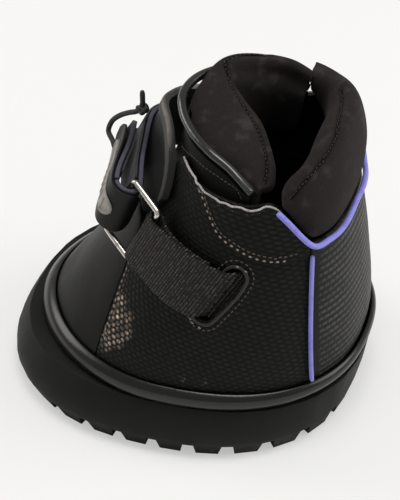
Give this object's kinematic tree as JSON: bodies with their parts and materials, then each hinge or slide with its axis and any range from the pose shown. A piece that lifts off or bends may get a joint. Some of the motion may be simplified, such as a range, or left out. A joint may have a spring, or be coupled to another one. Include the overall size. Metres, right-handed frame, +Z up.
{
  "type": "horse hoof boot",
  "caption": "Strap-on hoof boot with a treaded rubber sole cup, coated fabric upper, padded collar and tongue, and a front strap that runs through a wire ring and folds back",
  "frame": {"origin": "on the ground, below the middle of the sole's outline", "axes": "+Z up, -Y towards the toe, +X towards the side with the wire ring and the slot"},
  "size_m": [0.145, 0.1642, 0.1449],
  "materials": {
    "rubber": "matte moulded rubber",
    "smooth_panel": "smooth coated fabric with a satin sheen",
    "coated_fabric": "coated fabric with a small dimple weave",
    "heel_fabric": "fabric with fine level ribs",
    "piping": "periwinkle piping",
    "neoprene": "padded neoprene",
    "board": "fibre board",
    "foam": "closed cell foam",
    "lining": "brushed lining",
    "counter": "moulded stiffener",
    "nickel": "bright nickel plate",
    "nylon": "ribbed nylon",
    "strap_fabric": "ribbed strap fabric",
    "edge_binding": "pale edge binding",
    "silver_rubber": "silver grey moulded rubber"
  },
  "bodies": {
    "boot": {"outsole": "rubber", "foxing_band": "rubber", "insole_board": "board", "footbed": "foam", "lining": "lining", "heel_counter": "counter", "toe_cap": "smooth_panel", "near_quarter": "coated_fabric", "far_quarter": "coated_fabric", "heel_panel": "heel_fabric", "near_overlay": "coated_fabric", "far_overlay": "coated_fabric", "near_seam_piping": "piping", "far_seam_piping": "piping", "collar_piping": "piping", "rear_collar_pad": "neoprene", "slot_frame": "nylon", "webbing_strap": "nylon", "closure_strap": "strap_fabric", "closure_strap_binding": "edge_binding", "strap_anchor": "coated_fabric", "fastening_strap": "strap_fabric", "loop_patch": "lining"},
    "tab": {"fold_back": "strap_fabric", "hook_pad": "lining", "grip_tab": "rubber", "grip_plate": "silver_rubber", "pull_cord": "nylon", "cord_knot": "nylon", "cord_tail": "nylon"},
    "ring": {"strap_ring": "nickel"},
    "tongue": {"tongue_pad": "neoprene", "tongue_shell": "smooth_panel", "tongue_edge_roll": "rubber"}
  },
  "joints": [
    {"name": "tab_peel", "type": "hinge", "parent": "boot", "child": "tab", "pos_m": [0.02758, -0.03151, 0.09977], "axis": [0.005, 0.361, 0.9326], "range_deg": [0, 115]},
    {"name": "ring_swing", "type": "hinge", "parent": "boot", "child": "ring", "pos_m": [0.03752, -0.01082, 0.09081], "axis": [-0.044, 0.4376, 0.8981], "range_deg": [-5, 0]},
    {"name": "tongue_tilt", "type": "hinge", "parent": "boot", "child": "tongue", "pos_m": [0, -0.01895, 0.09198], "axis": [1, 0, 0], "range_deg": [-3, 0]}
  ]
}
